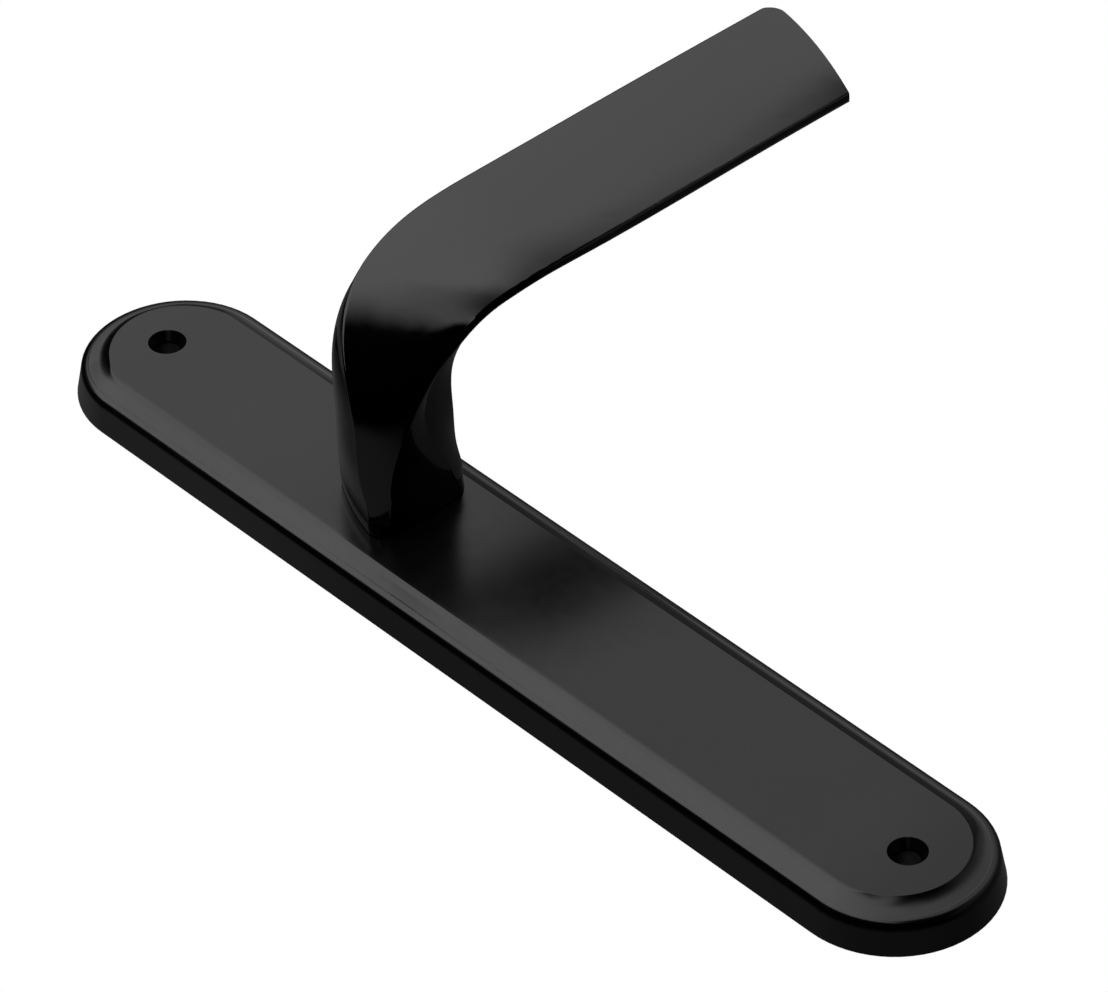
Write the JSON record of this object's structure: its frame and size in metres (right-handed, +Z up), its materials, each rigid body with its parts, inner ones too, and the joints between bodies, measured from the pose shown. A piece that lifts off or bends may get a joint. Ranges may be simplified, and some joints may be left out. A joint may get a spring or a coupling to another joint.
{
  "type": "lever door handle on backplate",
  "caption": "Black lever door handle with a twisted neck and flat blade, sprung to return, on a long round-ended backplate with countersunk screw holes.",
  "frame": {"origin": "on the spindle axis, at the plane of the backplate's back face", "axes": "+Z up along the backplate, +X along the lever at rest, -Y out of the door towards the hand"},
  "size_m": [0.1317, 0.0579, 0.233],
  "materials": {
    "black_coat": "smooth satin black coat over a zinc casting",
    "nylon": "moulded nylon",
    "zinc_steel": "bright zinc plate on pressed steel",
    "spring_steel": "oiled dark spring steel"
  },
  "bodies": {
    "plate": {"backplate": "black_coat", "neck_bush": "nylon", "return_spring": "spring_steel", "spring_keeper": "zinc_steel", "keeper_screw_upper": "zinc_steel", "keeper_screw_lower": "zinc_steel"},
    "handle": {"lever": "black_coat", "drive_disc": "zinc_steel", "thrust_washer": "zinc_steel", "retaining_ring": "spring_steel", "grub_screw": "spring_steel"}
  },
  "joints": [
    {"name": "lever_turn", "type": "hinge", "parent": "plate", "child": "handle", "pos_m": [0, 0, 0], "axis": [0, 1, 0], "range_deg": [0, 45], "stiffness_Nm_per_rad": 0.6, "springref_deg": -34.38, "deforming": ["return_spring"]}
  ]
}
